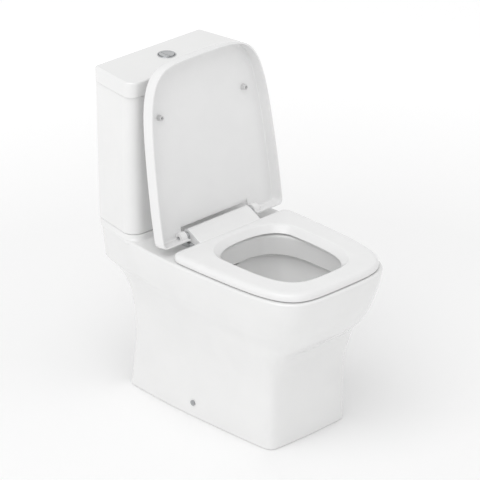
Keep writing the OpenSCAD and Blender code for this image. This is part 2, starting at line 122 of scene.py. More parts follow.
def quarter(n, count=160):
    """(cos, sin) of a squared-off quarter circle; n is 2 for a round one."""
    for a in np.linspace(0, math.pi / 2, count):
        yield math.cos(a) ** (2 / n), math.sin(a) ** (2 / n)


def flank(b, t0, m, tc, t1, n, taper, r=10):
    """One side of an outline: straight back, bowed flank, rounded front.

    Between the widest place and the front the side comes in by the taper.
    """
    side = arc(b - r, t0 + r, r, -90, 0, 11)
    for k in range(1, 25):
        t = t0 + r + (tc - t0 - r) * k / 24
        side.append((b + (m - b) * (1 - ((tc - t) / (tc - t0)) ** 2), t))
    front = [((m - taper * v**1.5) * (1 - v**n) ** (1 / n), v) for v in np.linspace(0.02, 0.9, 60)]
    front += [((m - taper * s**1.5) * c, s) for c, s in quarter(n) if s > 0.9]
    front = [(x, tc + (t1 - tc) * v - FRONT_BOW * (x / m) ** 2 * v**4) for x, v in front]
    return resample([(0, t0)] + side + front, HALF_POINTS)


def oval(m, t0, tc, t1, n, front_n=None):
    """Half of a closed oval with its own back and front lengths and squarenesses."""
    back = [(m * s, tc - (tc - t0) * c) for c, s in quarter(n)]
    front = [(m * c, tc + (t1 - tc) * s) for c, s in quarter(front_n or n)]
    return resample(back + front, HALF_POINTS)


def splayed(xb, xf, t0, t1, r, back_r=4):
    """A rectangle that widens to the front, with round corners, small ones at the back."""
    back = arc(xb - back_r, t0 + back_r, back_r, -90, 0, 8)
    front = arc(xf - r, t1 - r, r, 0, 90, 24)
    return resample([(0, t0)] + back + front + [(0, t1)], HALF_POINTS)


def around(half):
    """The whole outline from its +X half."""
    return [(x, t) for x, t in half] + [(-x, t) for x, t in half[-2:0:-1]]


def at(x, t, z):
    """A point in space from its x, wall distance and height in millimetres."""
    return (x * MM, (WALL - t) * MM, z * MM)


def ring(half, z):
    """A whole outline at height z from its +X half, as points in space."""
    return [at(x, t, z) for x, t in around(half)]


def rounding(r, count=8):
    """(inset, drop) along a rounded edge, from the side up to the top."""
    for a in np.linspace(0, math.pi / 2, count):
        yield r * (1 - math.cos(a)), r * (1 - math.sin(a))


# ---- solids ----


def solid(name, verts, faces):
    """An object from its points and faces, with the faces turned outwards."""
    mesh = bpy.data.meshes.new(name)
    mesh.from_pydata([tuple(v) for v in verts], [], faces)
    work = bmesh.new()
    work.from_mesh(mesh)
    bmesh.ops.recalc_face_normals(work, faces=work.faces)
    work.to_mesh(mesh)
    work.free()
    obj = bpy.data.objects.new(name, mesh)
    bpy.context.scene.collection.objects.link(obj)
    return obj


def loft(name, rings):
    """A closed solid through rings of equal length."""
    n, last = len(rings[0]), len(rings) - 1
    faces = [list(range(n))[::-1], [last * n + i for i in range(n)]]
    for k in range(last):
        for i in range(n):
            j = (i + 1) % n
            faces.append([k * n + i, k * n + j, (k + 1) * n + j, (k + 1) * n + i])
    return solid(name, [v for r in rings for v in r], faces)


def band(name, sections):
    """A ring-shaped solid: each section is a closed list of points in space."""
    n, m = len(sections), len(sections[0])
    faces = []
    for k in range(n):
        for i in range(m):
            k2, j = (k + 1) % n, (i + 1) % m
            faces.append([k * m + i, k2 * m + i, k2 * m + j, k * m + j])
    return solid(name, [v for s in sections for v in s], faces)


def placed(obj, x, t, z, axis):
    """Moves a solid drawn in millimetres along Z to (x, t, z), with its Z along the axis."""
    turn = {
        "X": Matrix.Rotation(math.pi / 2, 4, "Y"),
        "Y": Matrix.Rotation(-math.pi / 2, 4, "X"),
        "Z": Matrix.Identity(4),
    }[axis]
    obj.data.transform(Matrix.Translation(at(x, t, z)) @ turn @ Matrix.Scale(MM, 4))
    return obj


def turned(name, profile, x, t, z, axis="Z", steps=96):
    """A ring or disc turned from its closed profile of (radius, height)."""
    angles = np.linspace(0, 2 * math.pi, steps + 1)[:-1]
    sections = [[(r * math.cos(a), r * math.sin(a), h) for r, h in profile] for a in angles]
    return placed(band(name, sections), x, t, z, axis)


def rod(name, r, h, x, t, z, axis="Z"):
    """A plain round tool that starts at (x, t, z) and runs h along its axis."""
    disc = [(r * math.cos(a), r * math.sin(a)) for a in np.linspace(0, 2 * math.pi, 97)[:-1]]
    return placed(loft(name, [[(u, v, w) for u, v in disc] for w in (0, h)]), x, t, z, axis)


def slab(name, x0, x1, t0, t1, z0, z1):
    """A plain box for cutting or joining."""
    base = [(x0, t1), (x1, t1), (x1, t0), (x0, t0)]
    return loft(name, [[at(x, t, z) for x, t in base] for z in (z0, z1)])


def prism(name, x, section):
    """A bar from -x to x with a section of (t, z)."""
    return loft(name, [[at(end, t, z) for t, z in section] for end in (-x, x)])


def combine(obj, operation, tools):
    """Joins tools to obj, or cuts them out of it, and deletes them."""
    for tool in tools:
        step = obj.modifiers.new("step", "BOOLEAN")
        step.solver = "MANIFOLD"
        step.operation = operation
        step.object = tool
        graph = bpy.context.evaluated_depsgraph_get()
        mesh = bpy.data.meshes.new_from_object(obj.evaluated_get(graph))
        obj.modifiers.clear()
        old, obj.data = obj.data, mesh
        bpy.data.meshes.remove(old)
        bpy.data.objects.remove(tool)
    return obj


def cut(obj, *tools):
    """Cuts the tools out of obj, one after another."""
    return combine(obj, "DIFFERENCE", tools)


def join(obj, *tools):
    """Joins the tools to obj, one after another."""
    return combine(obj, "UNION", tools)


def finish(obj, body, material, *nodes, slot, sharp=32):
    """Smooths the piece's shading, sets its material and puts it in place of the CAD nodes."""
    for face in obj.data.polygons:
        face.use_smooth = True
    obj.data.set_sharp_from_angle(angle=math.radians(sharp))
    obj.data.materials.clear()
    obj.data.materials.append(material)
    normals = obj.modifiers.new("normals", "WEIGHTED_NORMAL")
    normals.keep_sharp = True
    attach(obj, body)
    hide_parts(*nodes)
    return obj


# ---- materials ----


class Paint:
    """A material's nodes, made one after another."""

    def __init__(self, name, color, roughness, **sockets):
        self.material = bpy.data.materials.new(name)
        self.material.use_nodes = True
        self.tree = self.material.node_tree
        self.shader = self.tree.nodes["Principled BSDF"]
        self.shader.inputs["Base Color"].default_value = (*color, 1)
        self.shader.inputs["Roughness"].default_value = roughness
        for key, value in sockets.items():
            self.shader.inputs[key.replace("_", " ")].default_value = value
        self.place = self.tree.nodes.new("ShaderNodeTexCoord").outputs["Object"]

    def noise(self, size, detail=3, stretch=(1, 1, 1)):
        """Noise whose features measure about size metres."""
        scaled = self.tree.nodes.new("ShaderNodeMapping")
        scaled.inputs["Scale"].default_value = stretch
        self.tree.links.new(self.place, scaled.inputs["Vector"])
        made = self.tree.nodes.new("ShaderNodeTexNoise")
        made.inputs["Scale"].default_value = 1 / size
        made.inputs["Detail"].default_value = detail
        self.tree.links.new(scaled.outputs["Vector"], made.inputs["Vector"])
        return made.outputs["Fac"]

    def fade(self, reach):
        """1 at the piece's origin, falling to 0 at reach metres from it."""
        scaled = self.tree.nodes.new("ShaderNodeMapping")
        scaled.inputs["Scale"].default_value = (1 / reach,) * 3
        self.tree.links.new(self.place, scaled.inputs["Vector"])
        made = self.tree.nodes.new("ShaderNodeTexGradient")
        made.gradient_type = "SPHERICAL"
        self.tree.links.new(scaled.outputs["Vector"], made.inputs["Vector"])
        return made.outputs["Fac"]

    def vary(self, factor, socket, low, high):
        """Ramps the socket from low to high with the factor; both are colours or both numbers."""
        ramp = self.tree.nodes.new("ShaderNodeValToRGB")
        ends = ramp.color_ramp.elements
        for end, value, place in ((ends[0], low, 0.35), (ends[1], high, 0.65)):
            end.position = place
            end.color = (*value, 1) if isinstance(value, tuple) else (value, value, value, 1)
        self.tree.links.new(factor, ramp.inputs["Fac"])
        self.tree.links.new(ramp.outputs["Color"], self.shader.inputs[socket])
        return self

    def bump(self, factor, depth, strength=0.5):
        """Raises the surface by depth metres, on top of any bump made before."""
        made = self.tree.nodes.new("ShaderNodeBump")
        made.inputs["Strength"].default_value = strength
        made.inputs["Distance"].default_value = depth
        self.tree.links.new(factor, made.inputs["Height"])
        before = self.shader.inputs["Normal"].links
        if before:
            self.tree.links.new(before[0].from_socket, made.inputs["Normal"])
        self.tree.links.new(made.outputs["Normal"], self.shader.inputs["Normal"])
        return self


def glazed_ceramic():
    """White glaze: thick and glossy, a little uneven, with the clay's warmth under it."""
    p = Paint("glazed_ceramic", (0.84, 0.84, 0.837), 0.1, Coat_Weight=0.6, Coat_Roughness=0.03)
    p.vary(p.noise(0.09), "Base Color", (0.832, 0.832, 0.829), (0.85, 0.85, 0.847))
    p.vary(p.noise(0.02, 5), "Roughness", 0.09, 0.14)
    p.bump(p.noise(0.035, 2), 0.0002, 0.25)
    p.bump(p.noise(0.0025, 2), 0.00002, 0.2)
    return p.material


def moulded_white():
    """The seat's urea: a shade softer than the glaze, with a very fine moulded skin."""
    p = Paint("moulded_white", (0.845, 0.845, 0.845), 0.2, Coat_Weight=0.25, Coat_Roughness=0.08)
    p.vary(p.noise(0.06), "Base Color", (0.837, 0.837, 0.837), (0.853, 0.853, 0.852))
    p.vary(p.noise(0.008, 5), "Roughness", 0.17, 0.25)
    p.bump(p.noise(0.0012, 3), 0.00002, 0.3)
    return p.material


def chrome(name="chrome"):
    """Plated and satin polished, with faint wipe marks."""
    p = Paint(name, (0.6, 0.61, 0.62), 0.2, Metallic=1.0)
    p.vary(p.noise(0.004, 6, (1, 6, 1)), "Roughness", 0.14, 0.26)
    p.vary(p.noise(0.02), "Base Color", (0.56, 0.57, 0.58), (0.64, 0.65, 0.66))
    p.bump(p.noise(0.006, 2), 0.00002, 0.2)
    return p.material


def zinc_steel():
    """Bright zinc plate: spangled and drawn lengthwise."""
    p = Paint("zinc_steel", (0.6, 0.61, 0.62), 0.3, Metallic=1.0)
    p.vary(p.noise(0.003, 4), "Base Color", (0.5, 0.51, 0.52), (0.68, 0.69, 0.69))
    p.vary(p.noise(0.002, 6, (1, 1, 12)), "Roughness", 0.22, 0.42)
    p.bump(p.noise(0.0008, 4), 0.00005, 0.3)
    return p.material


def brass():
    """Cast brass, a little tarnished."""
    p = Paint("brass", (0.72, 0.55, 0.26), 0.3, Metallic=1.0)
    p.vary(p.noise(0.008, 5), "Base Color", (0.56, 0.4, 0.17), (0.78, 0.61, 0.31))
    p.vary(p.noise(0.003, 5), "Roughness", 0.2, 0.42)
    p.bump(p.noise(0.0012, 3), 0.00005, 0.3)
    return p.material


def rubber(name, color):
    """Matte and slightly dusty."""
    p = Paint(name, color, 0.7)
    dusty = tuple(0.85 * c + 0.03 for c in color)
    p.vary(p.noise(0.006, 6), "Base Color", color, dusty)
    p.vary(p.noise(0.002, 4), "Roughness", 0.6, 0.85)
    p.bump(p.noise(0.0007, 4), 0.0001, 0.4)
    return p.material


def moulded(name, color, low=0.28, high=0.42, **sockets):
    """Injection moulded plastic: flow marks and a fine skin."""
    p = Paint(name, color, low, **sockets)
    darker = tuple(0.93 * c for c in color)
    p.vary(p.noise(0.025, 3, (1, 1, 3)), "Base Color", darker, color)
    p.vary(p.noise(0.003, 5), "Roughness", low, high)
    p.bump(p.noise(0.0009, 3), 0.00004, 0.3)
    return p.material


def foam():
    """Closed cells, just large enough to see."""
    p = Paint("foam", (0.84, 0.82, 0.74), 0.8)
    p.vary(p.noise(0.003, 6), "Base Color", (0.76, 0.73, 0.64), (0.87, 0.85, 0.78))
    p.vary(p.noise(0.0015, 3), "Roughness", 0.7, 0.9)
    p.bump(p.noise(0.0011, 2), 0.0003, 0.6)
    return p.material


GLAZE = glazed_ceramic()
SEAT_WHITE = moulded_white()
CHROME = chrome()
STUD_RUBBER = rubber("stud_rubber", (0.68, 0.68, 0.68))
CARRIED = {
    "sanitaryware": GLAZE,
    "seat_plastic": SEAT_WHITE,
    "chromed_plastic": CHROME,
    "chromed_metal": chrome("chromed_metal"),
    "steel": zinc_steel(),
    "brass": brass(),
    "black_rubber": rubber("black_rubber", (0.03, 0.03, 0.03)),
    "red_rubber": rubber("red_rubber", (0.36, 0.06, 0.04)),
    "clear_rubber": rubber("clear_rubber", (0.5, 0.51, 0.51)),
    "white_nylon": moulded("white_nylon", (0.8, 0.8, 0.77)),
    "translucent_plastic": moulded("translucent_plastic", (0.72, 0.79, 0.83), 0.2, 0.34),
    "blue_plastic": moulded("blue_plastic", (0.04, 0.13, 0.42)),
    "grey_plastic": moulded("grey_plastic", (0.36, 0.37, 0.38)),
    "cream_foam": foam(),
}


def dress_carried_nodes():
    """Every CAD node takes its record slot's material, and a fine bevel on its edges."""
    slots = {s["node"]: s["material_slot"] for s in frame["record"]["subparts"]}
    for name, node in frame["nodes"].items():
        node.data.materials.clear()
        node.data.materials.append(CARRIED[slots[name]])
        if name.endswith("_spring"):
            continue
        edge = node.modifiers.new("edge", "BEVEL")
        edge.width = 0.4 * MM
        edge.segments = 2
        edge.limit_method = "ANGLE"
        edge.angle_limit = math.radians(40)
        edge.harden_normals = True


# ---- pan ----

RIM_SQUARE = 5.5
RIM_TAPER = 14
WIDE_T = 300
# z, half width at the back, distance of the back from the wall, widest half width, distance of
# the widest place and of the front from the wall, squareness of the front, taper of each side
PAN_LEVELS = [
    (0, 119, 56, 128, 250, 525, 22, 9),
    (60, 120, 68, 126, 258, 525, 20, 7),
    (120, 122, 78, 125.5, 268, 526, 18, 6),
    (165, 125, 82, 128, 275, 530, 15, 5),
    (200, 128, 82, 134, 285, 539, 12, 4.5),
    (235, 131, 79, 143, 295, 555, 8.5, 5),
    (270, 135, 69, 154, WIDE_T, 589, 6, 12),
    (296, 138, 47, 164, WIDE_T, 603, 5.8, 12),
    (308, 139, 22, 168, WIDE_T, 608, 5.7, 12),
    (314, 140, 0, 170, WIDE_T, 610, 5.7, 12),
    (350, 145, 0, 179.5, WIDE_T, 622, 5.6, 13),
    (382, 149, 0, 184.5, WIDE_T, 630, RIM_SQUARE, RIM_TAPER),
    (RIM_H, 151, 0, 185.5, WIDE_T, 632, RIM_SQUARE, RIM_TAPER),
]
# z, half width, back, widest place, front, squareness of the bowl's inside
BOWL_LEVELS = [
    (84, 22, 336, 358, 384, 2),
    (92, 34, 326, 360, 396, 2),
    (130, 42, 318, 362, 404, 2.2),
    (170, 50, 314, 368, 428, 2.3),
    (205, 67, 309, 385, 482, 2.4),
    (240, 90, 304, 405, 532, 2.5),
    (280, 111, 297, 425, 570, 2.7),
    (315, 122, 291, 432, 583, 2.9),
    (340, 124, 289, 435, 585, 3),
]
BOWL_LEDGE_Z = 350
BOWL_NECK = (112, 299, 437, 573, 3)  # as a row of the bowl's levels, without its height
OUTLET_T = 120
OUTLET_Z = 180
OUTLET_R = 42
TRAP_R = 32
# (t, z) along the middle of the trapway, from the sump over the weir to the outlet
TRAP_LINE = [(350, 122), (318, 118), (292, 124), (272, 146), (258, 180), (244, 208),
             (224, 224), (200, 222), (184, 204), (168, 187), (146, OUTLET_Z),
             (OUTLET_T - 2, OUTLET_Z)]
CLAY = 12
FOOT_R = 3
PLATFORM_R = 34
VALVE_T = 67  # the middle of the flush valve and of the fill valve
DUCT_R = 22
DUCT_Z = 364
DUCT_END_T = 295  # short of the bowl's neck, so the water falls in under the ledge
COUPLING_X = 75  # the bolts that hold the cistern to the pan
COUPLING_T = 70
FILL_X = 116
SEAT_BOLT_X = 77.5
SCREW_T = 279  # the side screws at the foot
SCREW_Z = 35


def pan_half(z, inset=0.0):
    """Half of the pan's outline at height z."""
    b, t0, m, tc, t1, n, taper = levels_at(PAN_LEVELS, z)
    return flank(b - inset, max(t0, 0) + inset, m - inset, tc, t1 - inset, n, taper)


def pan_outside():
    """The pan's skin, from its rounded foot to its rounded rim."""
    rings = [ring(pan_half(0, inset), FOOT_R * (1 - math.sin(math.acos(1 - inset / FOOT_R))))
             for inset in (FOOT_R, 1.5, 0.4)]
    rings += [ring(pan_half(z), z) for z in np.linspace(FOOT_R, RIM_H - 5, 90)]
    rings += [ring(pan_half(RIM_H, inset), RIM_H - drop) for inset, drop in rounding(5)]
    return loft("pan", rings)


def hollow_half(z):
    """Half of the outline inside the clay; its back is past the wall, so the foot is open."""
    b, _, m, tc, t1, n, taper = levels_at(PAN_LEVELS, max(z, 0))
    return flank(b - CLAY, -20, m - CLAY, tc, t1 - 1.3 * CLAY, n, taper)


def pan_hollow():
    """The room inside the clay, before the bowl, duct and trap are left standing in it."""
    return loft("hollow", [ring(hollow_half(z), z) for z in np.linspace(-1, RIM_H - CLAY, 40)])


def bowl_rings(grow=0.0):
    """The bowl's inside below the ledge, or a skin grown outwards from it."""
    for z in np.linspace(84, 340, 48):
        m, t0, tc, t1, n = levels_at(BOWL_LEVELS, z)
        yield ring(oval(m + grow, t0 - grow, tc, t1 + grow, n), z)


def bowl_inside():
    """The bowl narrows to a ledge under the rim; the rim's edge is rounded."""
    m, t0, tc, t1, n = BOWL_NECK

    def neck(d, z):
        return ring(oval(m + d, t0 - d, tc, t1 + d, n), z)

    rings = list(bowl_rings())
    rings += [neck(10.5, BOWL_LEDGE_Z - 5), neck(6, BOWL_LEDGE_Z - 1.5), neck(1.5, BOWL_LEDGE_Z)]
    rings += [neck(0, BOWL_LEDGE_Z + 2), neck(0, RIM_H - 9)]
    rings += [neck(inset, RIM_H - drop) for inset, drop in rounding(8)]
    rings.append(neck(8, RIM_H + 3))
    return loft("bowl", rings)


def bowl_shell():
    """The outside of the bowl's clay."""
    below = [ring(oval(33, 325, 358, 395, 2), 73)]
    above = [ring(oval(135, 278, 435, 596, 3), RIM_H - 1)]
    return loft("shell", below + list(bowl_rings(11)) + above)


def trap(name, r):
    """A tube along the trapway."""
    line = np.array(TRAP_LINE, float)
    steps = np.arange(len(line))
    path = np.array([[smooth(steps, line[:, 0], s), smooth(steps, line[:, 1], s)]
                     for s in np.linspace(0, len(line) - 1, 60)])
    along = np.gradient(path, axis=0)
    along /= np.linalg.norm(along, axis=1)[:, None]
    rings = []
    for (t, z), (dt, dz) in zip(path, along):
        turn = np.linspace(0, -2 * math.pi, 49)[:-1]
        rings.append([at(r * math.cos(w), t - r * math.sin(w) * dz, z + r * math.sin(w) * dt)
                      for w in turn])
    return loft(name, rings)


def platform():
    """The raised step under the cistern, with a soft foot where it meets the deck."""
    rings = [ring(splayed(151, 176, 0, 146, PLATFORM_R), RIM_H - 7)]
    for k in np.linspace(0, 1, 10):
        z = RIM_H + (PLATFORM_Z - RIM_H - 3) * k**2.2
        rings.append(ring(splayed(151 + k, 176 - 4.5 * k, 0, 146 - 7 * k, PLATFORM_R), z))
    rings.append(ring(splayed(151, 170.8, 0.5, 138.4, PLATFORM_R), PLATFORM_Z - 0.8))
    rings.append(ring(splayed(150, 169.8, 1, 137.4, PLATFORM_R), PLATFORM_Z))
    return loft("platform", rings)


def outlet_spigot():
    """The tube at the back, with a bead near each end."""
    r = OUTLET_R
    return turned("spigot", [(r, 0), (r, 62), (r + 5, 62), (r + 7, 58), (r + 8, 55), (r + 9, 50),
                             (r + 9, 12), (r + 8, 9), (r + 8, 2), (r + 7, 0)],
                  0, OUTLET_T, OUTLET_Z, axis="Y")


def make_pan():
    """Hollow clay with an open-backed foot, the bowl, the trapway and the flush way."""
    duct_low = DUCT_Z - 34
    below_deck = RIM_H - 17
    void = cut(pan_hollow(), bowl_shell(), rod("duct_top", 58, 62, 0, VALVE_T, duct_low),
               slab("duct", -32, 32, VALVE_T, 300, duct_low, RIM_H - 6),
               trap("trap_outside", TRAP_R + 9))
    pan = join(cut(pan_outside(), void), platform(), outlet_spigot())
    cut(pan, bowl_inside(), trap("trapway", TRAP_R),
        rod("outlet", OUTLET_R, 64, 0, OUTLET_T + 1, OUTLET_Z, axis="Y"),
        rod("recess", 48, 30, 0, VALVE_T, PLATFORM_Z - 28),
        rod("inlet", 33, 40, 0, VALVE_T, DUCT_Z - 6),
        rod("flush_way", DUCT_R, DUCT_END_T - VALVE_T, 0, DUCT_END_T, DUCT_Z, axis="Y"),
        rod("fill_hole", 18, 40, FILL_X, VALVE_T, below_deck))
    for side in (-1, 1):
        cut(pan, rod("bolt_hole", 6, 40, side * COUPLING_X, COUPLING_T, below_deck),
            rod("seat_hole", 7, 30, side * SEAT_BOLT_X, AXIS_T, below_deck),
            rod("screw_hole", 4, 60, side * 118 - 30, SCREW_T, SCREW_Z, axis="X"))
    return finish(pan, "root", GLAZE, "pan", slot="sanitaryware")


# ---- cistern ----

TANK_WALL = 9
WALL_HOLE_X = 100
BUTTON_T = 64
BUTTON_HOLE_R = 20
BUTTON_TOP = TOTAL_H + 3
SPLIT_X = -4
SPLIT_GAP = 0.4  # from the split to each button
ROD_X = (9, -13)  # where the push rods pass through the bezel's floor


def tank_half(z, inset=0.0):
    """The tank is a little wider at its top, with sharper front corners."""
    k = (z - PLATFORM_Z) / (TANK_TOP - PLATFORM_Z)
    return splayed(154 + 3 * k - inset, 172 + 1.5 * k - inset, inset,
                   135.5 + 0.5 * k - inset, 32 - 5 * k - min(inset, 20))


def make_tank():
    """An open-topped ceramic box with rounded edges and the holes in its floor and back."""
    rings = [ring(tank_half(PLATFORM_Z, inset), PLATFORM_Z + 0.2 + drop)
             for inset, drop in reversed(list(rounding(4)))]
    rings += [ring(tank_half(z), z) for z in np.linspace(PLATFORM_Z + 6, TANK_TOP - 2, 12)]
    rings += [ring(tank_half(TANK_TOP, inset), TANK_TOP - drop)
              for inset, drop in rounding(1.5, 4)]
    tank = loft("cistern_tank", rings)
    floor_z = PLATFORM_Z + TANK_WALL
    inside = [ring(tank_half(floor_z, TANK_WALL + inset), floor_z + drop)
              for inset, drop in reversed(list(rounding(12)))]
    inside += [ring(tank_half(z, TANK_WALL), z)
               for z in np.linspace(floor_z + 14, TANK_TOP + 1, 12)]
    cut(tank, loft("tank_inside", inside), rod("valve_hole", 31, 20, 0, VALVE_T, PLATFORM_Z - 1),
        rod("fill_hole", 11, 20, FILL_X, VALVE_T, PLATFORM_Z - 1))
    for side in (-1, 1):
        cut(tank, rod("bolt_hole", 5, 20, side * COUPLING_X, COUPLING_T, PLATFORM_Z - 1),
            rod("wall_hole", 4, 20, side * WALL_HOLE_X, TANK_WALL + 3, TANK_TOP - 45, axis="Y"))
    return finish(tank, "root", GLAZE, "cistern_tank", slot="sanitaryware")


def lid_half(inset, r=24):
    """Half of the lid's outline, or of one set in from it; r rounds its front corners."""
    return splayed(161 - inset, 176 - inset, inset, 139 - inset, max(r - inset, 4),
                   max(9 - inset, 3))


def make_cistern_lid():
    """A hollow slab with a lip that drops into the tank and a boss round the button."""
    low = LID_LOW[2] / MM + 7
    rings = [ring(lid_half(inset), low + drop) for inset, drop in reversed(list(rounding(2, 5)))]
    rings += [ring(lid_half(0), z) for z in np.linspace(low + 3, TOTAL_H - 7, 5)]
    rings += [ring(lid_half(inset), TOTAL_H - drop) for inset, drop in rounding(5, 10)]
    lid = loft("cistern_lid", rings)
    cut(lid, loft("lid_hollow", [ring(lid_half(14.5), z) for z in (low - 1, TOTAL_H - 10)]))
    lip = loft("lip", [ring(lid_half(14, 32), z) for z in (low - 7, TOTAL_H - 12)])
    cut(lip, loft("lip_inside", [ring(lid_half(18, 32), z) for z in (low - 8, TOTAL_H - 9)]))
    join(lid, lip, rod("boss", BUTTON_HOLE_R + 7, 17, 0, BUTTON_T, TOTAL_H - 25))
    cut(lid, rod("button_hole", BUTTON_HOLE_R, 50, 0, BUTTON_T, TOTAL_H - 37))
    return finish(lid, "lid", GLAZE, "cistern_lid", slot="sanitaryware")


def make_bezel():
    """A plated cup with a rolled lip; the buttons stand in it."""
    low = -35
    bezel = turned("button_bezel", [
        (0.5, low), (19.8, low), (19.8, 0), (20.9, 0), (21.5, 0.5), (21.4, 1.2), (20.8, 1.8),
        (20, 2), (19.2, 1.8), (18.5, 1.1), (18.2, 0), (18.1, low + 2), (0.5, low + 2)],
        0, BUTTON_T, TOTAL_H)
    join(bezel, rod("cup_floor", 5, 2, 0, BUTTON_T, TOTAL_H + low))
    cut(bezel, *[rod("rod_hole", 3, 6, x, BUTTON_T, TOTAL_H + low - 2) for x in ROD_X])
    return finish(bezel, "lid", CHROME, "button_bezel", slot="chromed_plastic")


def make_button(name, body, other_x0, other_x1):
    """One part of the split button: a dished disc without the other button's side."""
    r = BUTTON_HOLE_R - 2.4
    profile = [(0, -10), (r, -10)] + [(r - inset, -drop) for inset, drop in rounding(0.9)]
    profile += [(0.75 * r, -0.35), (0.5 * r, -0.75), (0.25 * r, -1), (0, -1.1)]
    steps = np.linspace(0, 2 * math.pi, 129)[:-1]
    rings = [[(q * math.cos(a), q * math.sin(a), h) for a in steps] for q, h in profile if q > 0]
    button = placed(loft(name, rings), 0, BUTTON_T, BUTTON_TOP, "Z")
    cut(button, slab("other_side", other_x0, other_x1, 0, 140, TOTAL_H - 20, 800))
    return finish(button, body, CHROME, name, slot="chromed_plastic", sharp=25)


# ---- seat ----

SEAT_Z = RIM_H + 3.5
SEAT_TOP = RIM_H + 20.5
SEAT_BACK = 264
SEAT_FRONT = 625.5
SEAT_X = 177.5
OPENING_CENTRE_T = 425
BLOCK_X = 93
BLOCK_R = 14.3
PIN_BORE_R = 5.05


def seat_outline(d):
    """Half of the seat's outline, set in by d."""
    return flank(SEAT_X - 3 - d, SEAT_BACK + d, SEAT_X - d, WIDE_T, SEAT_FRONT - d, RIM_SQUARE,
                 RIM_TAPER, 14 - min(d, 8))


def seat_opening(d):
    """Half of the outline of the hole in the seat, grown by d."""
    return oval(103 + d, 303 - d, 372, 561 + d, 2.4, 3.7)


def seat_profile():
    """The seat's section: (outline, inset, height), from its outer foot over the top and in."""
    outer = [(12, -1.6), (1.6, -1.6), (0.5, -1), (0, 0.6), (0.1, 7), (0.7, 10), (2, 12.8),
             (4, 14.8), (7, 16), (11, 16.6), (16, 16.9)]
    inner = [(24, 16.95), (18, 16.75), (15.5, 16.2), (13.6, 15), (10, 11.6), (6, 7.8), (2.4, 4.3),
             (0.7, 2.4), (0, 1.2), (0.6, 0.2), (1.4, 0), (8, 0)]
    return [(seat_outline, d, h) for d, h in outer] + [(seat_opening, d, h) for d, h in inner]


def aligned(half, count=240):
    """The whole outline, at evenly spaced bearings from the opening's centre."""
    turn = 2 * math.pi
    points = np.array(around(half))
    bearings = np.arctan2(points[:, 0], OPENING_CENTRE_T - points[:, 1]) % turn
    even = np.linspace(0, turn, count + 1)[:-1]
    xs = np.interp(even, bearings, points[:, 0], period=turn)
    ts = np.interp(even, bearings, points[:, 1], period=turn)
    return list(zip(xs, ts))


def hinge_block():
    """A barrel round the axis with a slightly crowned slope down to a crisp foot."""
    nose = arc(AXIS_T, AXIS_H, BLOCK_R, 250, 59, 30)
    top_t, top_z = nose[-1]
    foot_t, foot_z = SEAT_BACK + 4, SEAT_TOP - 1.4
    slope = [(top_t + (foot_t - top_t) * k, top_z + (foot_z - top_z) * k + 2.2 * k * (1 - k))
             for k in np.linspace(0, 1, 9)]
    low = SEAT_Z + 3
    under = [(SEAT_BACK + 10, SEAT_TOP - 3), (SEAT_BACK + 10, low), (SEAT_BACK, low)]
    section = np.array(nose + slope[1:] + under)
    outwards = section - section.mean(axis=0)
    outwards /= np.linalg.norm(outwards, axis=1)[:, None]
    ends = [(BLOCK_X, -1.2), (BLOCK_X - 0.4, -0.4), (BLOCK_X - 1.2, 0)]
    rings = [[at(x, t, z) for t, z in section + grow * outwards]
             for x, grow in [(-x, grow) for x, grow in ends] + ends[::-1]]
    return loft("block", rings)


def make_seat():
    """A hollowed ring of urea with the hinge block moulded on."""
    loops = [(aligned(outline(d)), SEAT_Z + h) for outline, d, h in seat_profile()]
    sections = [[at(*loop[i], z) for loop, z in loops] for i in range(len(loops[0][0]))]
    seat = join(band("seat_ring", sections), hinge_block())
    bores = [rod("bore", PIN_BORE_R, 38, x, AXIS_T, AXIS_H, axis="X") for x in (56, -94)]
    cut(seat, rod("damper_bore", 8, 113, -56.5, AXIS_T, AXIS_H, axis="X"), *bores)
    return finish(seat, "seat", SEAT_WHITE, "seat_ring", slot="seat_plastic", sharp=38)


# ---- cover ----

COVER_Z = RIM_H + 3
COVER_TOP = AXIS_H + 13.5
COVER_BACK = AXIS_T - 6
COVER_FRONT = 630.5
COVER_X = 185
COVER_WALL = 3.4
COVER_CEILING = COVER_TOP - 5
EAR_X = 103.5
EAR_T = 17
EAR_R = 13
BUFFER_X = 128
BUFFER_T = AXIS_T + 283


def cover_half(d):
    """Half of the cover's outline, set in by d."""
    return flank(COVER_X - 1 - d, COVER_BACK + d, COVER_X - d, WIDE_T, COVER_FRONT - d, 5.7, 15,
                 max(12 - d / 2, 5))


def opened(obj):
    """Turns a piece drawn with the cover shut to where the CAD cover rests, open."""
    axis = Matrix.Translation(at(0, AXIS_T, AXIS_H))
    obj.data.transform(axis @ Matrix.Rotation(-COVER_OPEN, 4, "X") @ axis.inverted())
    return obj


def add_ear(cover, x):
    """Joins to the cover the ear that starts at x, and bores it for the pin."""
    r, w = EAR_R, EAR_T
    ear = turned("ear", [(0.5, 0), (r - 1.6, 0), (r - 0.5, 0.5), (r, 1.6), (r, w - 1.6),
                         (r - 0.5, w - 0.5), (r - 1.6, w), (0.5, w)], x, AXIS_T, AXIS_H, axis="X")
    x0, x1 = x + 0.3, x + w - 0.3
    join(cover, ear,
         slab("ear_root", x0, x1, AXIS_T - 5, AXIS_T + 11, AXIS_H, COVER_TOP - 2),
         slab("ear_foot", x0, x1, AXIS_T - 5.5, AXIS_T, AXIS_H - 10, AXIS_H))
    cut(cover, rod("pin_bore", PIN_BORE_R, w + 2, x - 1, AXIS_T, AXIS_H, axis="X"))


